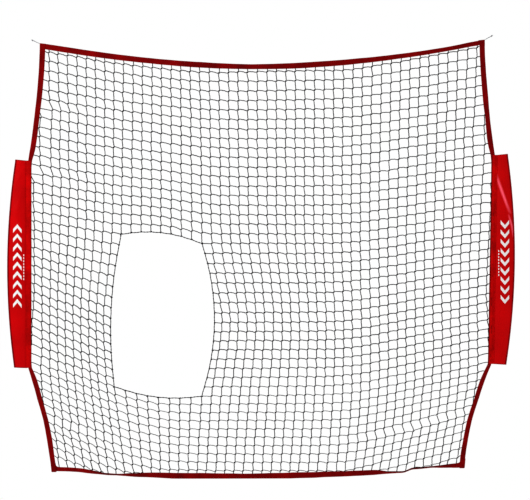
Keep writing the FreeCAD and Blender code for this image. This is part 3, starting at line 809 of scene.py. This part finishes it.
class Sleeve:
    """The shape of one sleeve: rows up its height, each with an outline from seam to fold."""

    def __init__(self, side, tilt, folds):
        node = f"sleeve_{side}"
        self.side = side
        self.way = -1 if side == "left" else 1
        low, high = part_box(node)
        self.low, self.high = low[2], high[2]
        rows = int((self.high - self.low) / SLEEVE_STEP)
        self.height = np.linspace(self.low + 0.3 * MM, self.high - 0.3 * MM, rows)
        cuts = [slice_of(node, 2, at) for at in self.height]
        self.seam = np.array([min(self.way * cut[:, 0]) for cut in cuts])
        self.fold = smooth(np.array([max(self.way * cut[:, 0]) for cut in cuts]), 8)
        self.thick = smooth(np.array([max(cut[:, 1]) for cut in cuts]), 8)
        self.tilt = np.interp(self.height, [self.low, self.high], tilt)
        self.folds = folds
        self.wave = rng.uniform(0, 6, 8)

    def at(self, row, values):
        """A value given for every row, read at any row."""
        return np.interp(row, np.arange(len(self.height)), values)

    def swell(self, share, wide, thick):
        """Half the thickness at a share of the way from the seam to the fold."""
        flange = FLANGE / wide
        into = np.clip((share - flange) / (1 - flange), 0, 1)
        pouch = (4 * into * (1 - into)) ** 0.48 * np.where(into > 0.5, 1.0, 0.75 + 0.5 * into)
        return np.where(share < flange, 1.0 * MM, 1.0 * MM + (thick - 1.0 * MM) * pouch)

    def relief(self, across, height, face, wide):
        """Creases, puckers at the seam and the step of the hem on one face, outwards."""
        out = np.zeros(np.broadcast(across, height).shape)
        for fold in self.folds:
            start, end = np.array(fold.start) * MM, np.array(fold.end) * MM
            way = unit(end - start)
            run = (across - start[0]) * way[0] + (height - start[1]) * way[1]
            run = run / np.linalg.norm(end - start)
            off = (across - start[0]) * -way[1] + (height - start[1]) * way[0]
            fade = np.clip(np.minimum(run, 1 - run) / 0.3 + 0.05, 0, 1)
            if fold.face == face:
                out = out + fold.deep * MM * fade * np.exp(-(off / (fold.wide * MM)) ** 2)
        waves = self.wave
        slow = np.sin(height / 0.071 + 9 * across + waves[0] + face) * np.sin(across / 0.019 + waves[1])
        quick = np.sin(height / 0.023 + waves[2] + 2 * face) * np.sin(height / 0.09 + waves[3])
        out = out + 0.7 * MM * slow + 0.45 * MM * quick
        pucker = np.sin(height / 0.0042 + 1.3 * np.sin(height / 0.031 + waves[4]) + face)
        out = out + 0.55 * MM * pucker * np.exp(-np.maximum(across - 6 * MM, 0) / (7 * MM))
        from_mouth = np.minimum(height - self.low, self.high - height)
        out = out + 0.55 * MM / (1 + np.exp((from_mouth - HEM) / (0.7 * MM)))
        drawn = np.exp(-((from_mouth - HEM) / (2.2 * MM)) ** 2)
        return out - 0.5 * MM * drawn * (0.6 + 0.4 * np.sin(height / 0.0009 + across / 0.0021))

    def surface(self, row, share, face, inset=0.0):
        """Points on one face: rows and shares of the same shape, face -1 front or 1 back."""
        seam, fold, height, thick, tilt = (
            self.at(row, values) for values in (self.seam, self.fold, self.height, self.thick, self.tilt)
        )
        wide = fold - seam
        if inset:
            begin, end = (FLANGE + 2 * MM) / wide, 1 - inset / wide
            share = begin + (end - begin) * share
        across = share * wide
        half = self.swell(share, wide, thick)
        room = np.clip((1 - share) * wide / (8 * MM), 0, 1) * np.clip(share * wide / (6 * MM) - 0.7, 0, 1)
        half = half + self.relief(across, height, face, wide) * room
        half = np.maximum(half - inset * np.clip((1 - share) * wide / (2 * MM), 0, 1), 0.12 * MM)
        half = np.minimum(half, SLEEVE_DEEP)
        ends = np.where((share >= 1 - 1e-9) | (inset > 0) & (share >= (1 - inset / wide) - 1e-9), 0.0, 1.0)
        x = self.way * (seam + across)
        z = height + (share - 0.35) * tilt
        return np.stack(np.broadcast_arrays(x, face * half * ends, z), -1)

    def skin(self, inset=0.0):
        """Every row's outline, round from the seam along the front to the fold and back."""
        share = (1 - np.cos(np.linspace(0, math.pi, SLEEVE_SIDES))) / 2
        share = 0.5 * share + 0.5 * np.linspace(0, 1, SLEEVE_SIDES)
        row = np.arange(len(self.height))[:, None]
        front = self.surface(row, share[None], -1, inset)
        back = self.surface(row, share[None, ::-1][:, 1:], 1, inset)
        return np.concatenate([front, back], axis=1)

    def build(self, material):
        outer, inner = self.skin(), self.skin(CLOTH)
        rows, sides = outer.shape[:2]
        faces = quads(rows, sides)
        back = faces[:, ::-1] + rows * sides
        rims = []
        for base in (0, (rows - 1) * sides):
            for one in range(sides):
                two = (one + 1) % sides
                rims.append([base + two, base + one, rows * sides + base + one, rows * sides + base + two])
        verts = np.concatenate([outer.reshape(-1, 3), inner.reshape(-1, 3)])
        made = piece(f"sleeve_cloth_{self.side}", verts, np.concatenate([faces, back, np.array(rims)]),
                     material, f"sleeve_{self.side}")
        hems = [f"sleeve_hem_{self.side}_{mouth}" for mouth in ("top", "bottom")]
        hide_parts(f"sleeve_{self.side}", *hems)
        return made

    def row_at(self, height):
        return np.interp(height, self.height, np.arange(len(self.height)))

    def stitching(self, material):
        """Rows of stitches along both hems and the flange, on both faces."""
        seam = []
        share = np.linspace(0.07, 0.97, 60)
        for face in (-1, 1):
            for height in (self.low + HEM - 2 * MM, self.high - HEM + 2 * MM):
                points = self.surface(np.full(60, self.row_at(height)), share, face)
                seam.append((points, np.tile([0.0, face, 0.0], (60, 1))))
            rows = np.linspace(1, len(self.height) - 2, 300)
            wide = self.at(rows, self.fold - self.seam)
            points = self.surface(rows, 12 * MM / wide, face)
            seam.append((points, np.tile([0.0, face, 0.0], (300, 1))))
        return stitches(f"sleeve_stitching_{self.side}", seam, material, f"sleeve_{self.side}")

    def printed(self, bars, name, material):
        """Flat printed bars on the front: each bar is its four corners, as (x, z) in millimetres."""
        steps = 7
        u, v = np.meshgrid(np.linspace(0, 1, steps), np.linspace(0, 1, steps), indexing="ij")
        first, second, third, fourth = np.array(bars, float).transpose(1, 0, 2)[:, :, None, None] * MM
        u, v = u[None, ..., None], v[None, ..., None]
        flat = first * (1 - u) * (1 - v) + second * u * (1 - v) + third * u * v + fourth * (1 - u) * v
        across, height = flat[..., 0], flat[..., 1]
        row = self.row_at(height)
        seam, wide = self.at(row, self.seam), self.at(row, self.fold - self.seam)
        points = self.surface(row, (self.way * across - seam) / wide, -1)
        points[..., 1] -= 0.22 * MM
        verts = points.reshape(-1, 3)
        faces = many(quads(steps, steps, closed_sides=False), len(bars), steps * steps)
        return piece(name, verts, faces, material, f"sleeve_{self.side}")


def crease(face, start, end, wide, deep):
    """A crease on one face of a sleeve, from (distance from the seam, height) to another, in mm."""
    return SimpleNamespace(face=face, start=start, end=end, wide=wide, deep=deep)


def chevrons(centre, half, low, high, count, way):
    """Pairs of slanted bars that meet in a point, one pair after another up the sleeve."""
    pitch = (high - low) / count
    stroke, rise = pitch * 0.42, pitch * 0.55
    bars = []
    for number in range(count):
        base = low + number * pitch if way > 0 else high - number * pitch
        for arm in (-1, 1):
            bars.append([
                (centre + arm * half, base), (centre, base + way * rise),
                (centre, base + way * (rise + stroke)), (centre + arm * half, base + way * stroke),
            ])
    return bars


def dashes(centre, wide, low, high, count):
    """A broken thin line."""
    pitch = (high - low) / count
    return [
        [(centre - wide / 2, low + n * pitch), (centre + wide / 2, low + n * pitch),
         (centre + wide / 2, low + (n + 0.62) * pitch), (centre - wide / 2, low + (n + 0.62) * pitch)]
        for n in range(count)
    ]


def seam_strip(sleeve, material):
    """The sleeve's edge turned over the tape and sewn down, front and back."""
    rows = np.linspace(0, len(sleeve.height) - 1, 260)
    base, height = sleeve.at(rows, sleeve.seam), sleeve.at(rows, sleeve.height)
    reach = np.array([-14.5, -13.8, -12.0, -8.0, -5.0, -3.0, -1.5, 0.0, 2.0, 4.0, 6.0, 8.0, 9.0]) * MM
    lift = np.array([3.0, 3.7, 4.0, 4.4, 4.9, 5.0, 4.6, 3.8, 3.0, 2.5, 2.3, 2.2, 1.8]) * MM
    if sleeve.way > 0:
        reach[:3] += 0.8 * MM
    across = np.concatenate([reach, reach[::-1]])
    out = np.concatenate([-lift, lift[::-1]])
    pucker = 1 + 0.05 * np.sin(height / 0.0043)[:, None] + 0.04 * np.sin(height / 0.017)[:, None]
    verts = np.stack(np.broadcast_arrays(
        sleeve.way * (base[:, None] + across[None]), out[None] * pucker, height[:, None]), -1)
    faces = np.concatenate([quads(len(rows), len(across)), end_caps(len(rows), len(across))])
    made = piece(f"seam_strip_{sleeve.side}", verts, faces, material, None)
    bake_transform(made)
    return made


def bound_edge(sleeve, material):
    """The narrow binding folded over a sleeve's outer fold, and the bound rims of both mouths; its dark red
    is partly the binding's own colour and partly painted shade where the cloth turns away at the edge.
    """
    rows = np.arange(len(sleeve.height), dtype=float)
    inward = np.array([7.0, 5.5, 4.0, 2.5, 1.2, 0.5, 0.0]) * MM
    share = 1 - inward[None] / (sleeve.fold - sleeve.seam)[:, None]
    front = sleeve.surface(rows[:, None], share, -1)
    front[:, -1, 1] = 0
    outer, inner = front.copy(), front.copy()
    outer[:, :-1, 1] -= 0.5 * MM
    outer[:, -1, 0] += sleeve.way * 0.6 * MM
    inner[:, :-1, 1] += 0.3 * MM
    inner[:, -1, 0] -= sleeve.way * 0.3 * MM
    mirror = np.array([1, -1, 1])
    parts = [outer, outer[:, -2::-1] * mirror, inner[:, :-1] * mirror, inner[:, ::-1]]
    section = np.concatenate(parts, axis=1)
    sides = section.shape[1]
    verts, faces = [section.reshape(-1, 3)], [quads(len(rows), sides), end_caps(len(rows), sides)]
    for row in (0.0, float(len(sleeve.height) - 1)):
        share = np.linspace(0.05, 1, 60)
        front = sleeve.surface(np.full(60, row), share, -1)
        back = sleeve.surface(np.full(60, row), share[::-1], 1)[1:]
        rim = np.concatenate([front, back])
        faces.append(quads(len(rim), 8, closed_rows=True) + sum(map(len, verts)))
        verts.append(tubes(rim[None], RIM, 8, closed=True)[0].reshape(-1, 3))
    return piece(f"sleeve_edge_{sleeve.side}", np.concatenate(verts), np.concatenate(faces), material,
                 f"sleeve_{sleeve.side}")


# ============================== the ties ==============================

def tie(side, material):
    """A short cord out of a top corner, with a small knot at its end."""
    low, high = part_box(f"tie_cord_{side}")
    way = -1 if side == "left" else 1
    start = np.array([high[0] if side == "left" else low[0], 0.0, low[2] + 1.2 * MM])
    knot_low, knot_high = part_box(f"tie_knot_{side}")
    end = np.array([(knot_low[0] + knot_high[0]) / 2, 0.0, (knot_low[2] + knot_high[2]) / 2])
    start = start + unit(end - start) * 0.5 * MM
    along = unit(end - start)
    aside = np.array([-along[2], 0, along[0]])
    share = np.linspace(0, 1, 9)
    path = start + np.outer(share, end - start) + np.outer(0.5 * np.sin(share * 5.0) * MM, aside)
    curve = bpy.data.curves.new(f"tie_{side}", "CURVE")
    curve.dimensions = "3D"
    line = curve.splines.new("NURBS")
    line.points.add(len(path) - 1)
    for point, place in zip(line.points, path):
        point.co = (*place, 1)
    line.order_u = 3
    line.use_endpoint_u = True
    line.resolution_u = 8
    curve.bevel_depth = 1.5 * MM
    curve.bevel_resolution = 4
    curve.use_fill_caps = True
    curve.materials.append(material)
    made = bpy.data.objects.new(f"tie_{side}", curve)
    bpy.context.scene.collection.objects.link(made)
    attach(made, f"tie_{side}")
    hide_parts(f"tie_cord_{side}", f"tie_knot_{side}")
    turn = np.linspace(0, 2 * math.pi, 60, endpoint=False)
    loop = np.stack([np.sin(turn) + 2 * np.sin(2 * turn), -np.sin(3 * turn) * 1.1,
                     np.cos(turn) - 2 * np.cos(2 * turn)], -1) * 0.92 * MM
    frame_axes = np.stack([along, [0, 1, 0], aside])
    knot_path = (end + loop @ frame_axes)[None]
    verts = tubes(knot_path, 1.35 * MM, 10, closed=True)
    knot = piece(f"tie_knot_shape_{side}", verts, quads(60, 10, closed_rows=True), material,
                 f"tie_{side}")
    tail_end = end + along * 6.2 * MM + aside * way * 1.0 * MM
    tail = np.linspace(end, tail_end, 8)[None]
    tail_piece = piece(f"tie_tail_{side}", tubes(tail, 1.4 * MM, 10, 0.1), quads(8, 10), material,
                       f"tie_{side}")


# ============================== the whole net ==============================

tapes = {
    "top": Tape("top", [
        (-1.06, 2.0, 1.15), (-0.96, 4.2, 1.23), (-0.77, 5.3, 1.23),
        (-0.53, 4.2, 1.17), (-0.29, 1.0, 1.22), (-0.05, -2.2, 1.05),
        (0.19, -0.6, 1.23), (0.42, 1.0, 1.20), (0.66, 2.2, 1.02),
        (0.90, 2.1, 0.90), (1.00, 3.5, 0.98), (1.07, 2.0, 1.00),
    ]),
    "bottom": Tape("bottom", [
        (-1.00, -5.0, 0.90), (-0.91, -7.0, 0.88), (-0.86, -7.0, 0.84, 0, 0.4),
        (-0.81, -4.0, 0.85, -40, 0.35), (-0.74, 0.0, 1.00, -84, 0.35), (-0.69, 0.0, 1.00, -84, 0.35),
        (-0.65, 0.0, 1.00, -66, 0.25), (-0.60, 0.0, 1.00, -46, 0.2), (-0.55, 0.0, 1.03, -24, 0.2),
        (-0.48, 0.0, 1.15, 0, 0.3), (-0.29, 1.8, 1.50), (-0.05, 3.2, 1.45),
        (0.19, 0.0, 1.26), (0.43, -0.5, 1.16), (0.53, 0.0, 1.10),
        (0.60, 0.0, 1.00, -72, 0.25), (0.685, 0.0, 1.00, -82, 0.2), (0.72, 0.0, 1.00, -84, 0.85),
        (0.82, 0.0, 1.00, -82, 0.9), (0.855, -1.0, 1.00, -68, 0.9),
        (0.90, -3.0, 1.00, -48, 0.9), (0.945, -4.0, 1.00, -10, 0.9), (0.99, -4.0, 1.00),
    ]),
    "left": Tape("left", [
        (0.03, 2.0, 1.04), (0.11, 2.5, 1.04), (0.18, 2.0, 1.15),
        (0.28, 1.0, 1.05), (0.375, 4.7, 1.07), (0.47, 0.8, 1.12),
        (0.555, 1.9, 0.64), (1.49, 1.9, 0.64), (1.56, -1.0, 1.12),
        (1.62, -1.6, 1.16), (1.71, 0.4, 1.13), (1.90, -0.6, 1.18),
        (2.07, -1.0, 1.22),
    ]),
    "right": Tape("right", [
        (0.05, -2.0, 1.05), (0.11, -2.6, 1.09), (0.18, -1.0, 1.02),
        (0.28, -0.4, 1.02), (0.375, 3.3, 0.98), (0.47, 0.8, 1.03),
        (0.575, 1.2, 0.71), (1.51, 1.2, 0.71), (1.58, -3.0, 1.10),
        (1.62, -3.6, 1.19), (1.71, -1.4, 1.02), (1.81, -0.9, 1.19),
        (2.0, -0.7, 1.12), (2.09, -0.7, 1.12),
    ]),
}
net_shape = Net(list(tapes.values()))
black_twine = twine_material("black_twine", (0.010, 0.010, 0.011), (0.030, 0.030, 0.032))
black_cord = twine_material("black_cord", (0.008, 0.008, 0.009), (0.020, 0.020, 0.022))
red_tape = tape_material("red_tape", (0.305, 0.0012, 0.0022))
red_thread = thread_material("red_thread", (0.26, 0.002, 0.003))
# Painted highlights along two creases of the right sleeve, standing in for light glinting off them.
painted_highlights = [((1.1185, 1.462), (1.190, 1.262), 0.0095, -0.002), ((1.180, 1.262), (1.204, 1.150), 0.0065, 0.004)]
cloths = {
    "left": sleeve_material("left_cloth", (0.60, 0.0008, 0.0035)),
    "right": sleeve_material("right_cloth_painted_highlight", (0.60, 0.0012, 0.003), painted_highlights),
}
# The seam bands' red; the right band is paler than the left as painted light, making up for the key lamp at
# the left lighting it less.
bands_with_painted_light = {
    "left": tape_material("left_band", (0.62, 0.0014, 0.002)),
    "right": tape_material("right_band_painted_light", (0.70, 0.0018, 0.002)),
}
# The sleeves' bindings: a dark red that is partly the tape's own colour and partly painted shade at the
# folds, set darker on the left than on the right as painted shade too.
painted_shade_bindings = {
    "left": tape_material("left_binding_painted_shade", (0.32, 0.001, 0.006)),
    "right": tape_material("right_binding_painted_shade", (0.40, 0.001, 0.006)),
}
sleeve_thread = thread_material("sleeve_thread", (0.46, 0.002, 0.003))
white_print = print_material("white_print")
grey_cord = twine_material("grey_cord", (0.16, 0.16, 0.17), (0.30, 0.30, 0.31))

uprights = strand(net_shape, net_shape.uprights, KNOT_LEG, 0.0, "net_uprights", black_twine)
cross_twines = strand(net_shape, net_shape.cross, KNOT_ARM, -SAG, "net_cross_twines", black_twine, 0.62)
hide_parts("vertical_twines")
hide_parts("horizontal_twines")
knots(net_shape, black_twine)
border_cord(net_shape, black_cord)

for tape in tapes.values():
    strip = tape.build(red_tape)
    thread = tape.stitching(red_thread)
patch_shifts = {"top_left": (1, 0), "top_right": (-1, -1), "bottom_left": (0, 5), "bottom_right": (-3, 6)}
for end, shift in patch_shifts.items():
    corner_patch(end, shift, red_tape)

sleeves = {
    "left": Sleeve("left", (3 * MM, 6 * MM), [
        crease(-1, (8, 1500), (58, 1400), 10, 1.6),
        crease(-1, (20, 1512), (66, 1300), 14, -1.4),
        crease(-1, (12, 1390), (70, 1230), 12, 1.2),
        crease(-1, (10, 720), (60, 560), 14, 1.2),
        crease(-1, (30, 1180), (78, 900), 16, 0.9),
        crease(1, (10, 1480), (60, 1300), 12, 1.4),
        crease(1, (10, 600), (60, 800), 12, 1.4),
    ]),
    "right": Sleeve("right", (-4 * MM, 6 * MM), [
        crease(-1, (16, 1470), (84, 1200), 4.5, 3.0),
        crease(-1, (24, 1440), (92, 1170), 8, -1.6),
        crease(-1, (70, 1260), (95, 1130), 4, 1.6),
        crease(-1, (8, 700), (60, 560), 14, 1.2),
        crease(-1, (8, 900), (90, 760), 16, 0.9),
        crease(1, (10, 1500), (60, 1300), 12, 1.4),
        crease(1, (10, 620), (60, 820), 12, 1.4),
    ]),
}

for sleeve in sleeves.values():
    cloth = sleeve.build(cloths[sleeve.side])
    sewn = sleeve.stitching(sleeve_thread)
    edge = bound_edge(sleeve, painted_shade_bindings[sleeve.side])
    seam_strip(sleeve, bands_with_painted_light[sleeve.side])
sleeves["left"].printed(
    chevrons(-1162, 20.5, 814, 1215, 9, 1) + dashes(-1132, 5, 948, 1077, 9), "print_left", white_print)
sleeves["right"].printed(
    chevrons(1163, 20.5, 833, 1234, 9, -1) + dashes(1134, 5, 967, 1096, 9), "print_right", white_print)
for side in ("left", "right"):
    tie(side, grey_cord)

# ============================== camera and light ==============================

lens = bpy.data.cameras.new("camera")
lens.lens, lens.clip_end = 180, 60
camera = bpy.data.objects.new("camera", lens)
camera.location = (0.019, -12.65, 1.091)
camera.rotation_euler = (math.pi / 2, 0, 0)
bpy.context.scene.collection.objects.link(camera)
bpy.context.scene.camera = camera

world = bpy.data.worlds.new("world")
world.use_nodes = True
world.node_tree.nodes["Background"].inputs["Color"].default_value = (1, 1, 1, 1)
world.node_tree.nodes["Background"].inputs["Strength"].default_value = 0.45
bpy.context.scene.world = world
bpy.context.scene.view_settings.view_transform = "Standard"
bpy.context.scene.view_settings.gamma = 0.72      # the contrast of a product picture


def lamp(name, place, aim, size, power):
    light = bpy.data.lights.new(name, "AREA")
    light.shape, light.size, light.energy = "DISK", size, power
    made = bpy.data.objects.new(name, light)
    made.location = place
    made.rotation_euler = (Vector(aim) - Vector(place)).to_track_quat("-Z", "Y").to_euler()
    bpy.context.scene.collection.objects.link(made)


lamp("key", (-3.0, -4.0, 3.4), (-0.3, 0, 1.1), 1.2, 152)
lamp("fill", (3.5, -4.5, 1.5), (0.2, 0, 1.0), 2.5, 30)


def backdrop():
    """A white floor that curves up into a white wall, far enough behind for a camera at the back."""
    profile = [(-30, 0), (17, 0)]
    profile += [(17 + 3 * math.sin(a), 3 - 3 * math.cos(a)) for a in np.linspace(0.1, math.pi / 2, 14)]
    profile += [(20, 36)]
    verts = [(x, y, z) for y, z in profile for x in (-40, 40)]
    faces = [(2 * i, 2 * i + 1, 2 * i + 3, 2 * i + 2) for i in range(len(profile) - 1)]
    shader = Shader("white_paper", 0.9)
    shader.surface.inputs["Specular IOR Level"].default_value = 0
    depth = shader.add("ShaderNodeSeparateXYZ", {0: shader.place}).outputs["Y"]
    bright = shader.span(depth, -6.0, -1.3, 0.80, 1.0)
    shader.colour(shader.blend(bright, (0.10, 0.10, 0.10), (0, 0, 0)))
    shader.surface.inputs["Emission Color"].default_value = (1, 1, 1, 1)
    shader.link(bright, shader.surface.inputs["Emission Strength"])
    made = piece("backdrop", verts, np.array(faces), shader.material, None)


backdrop()
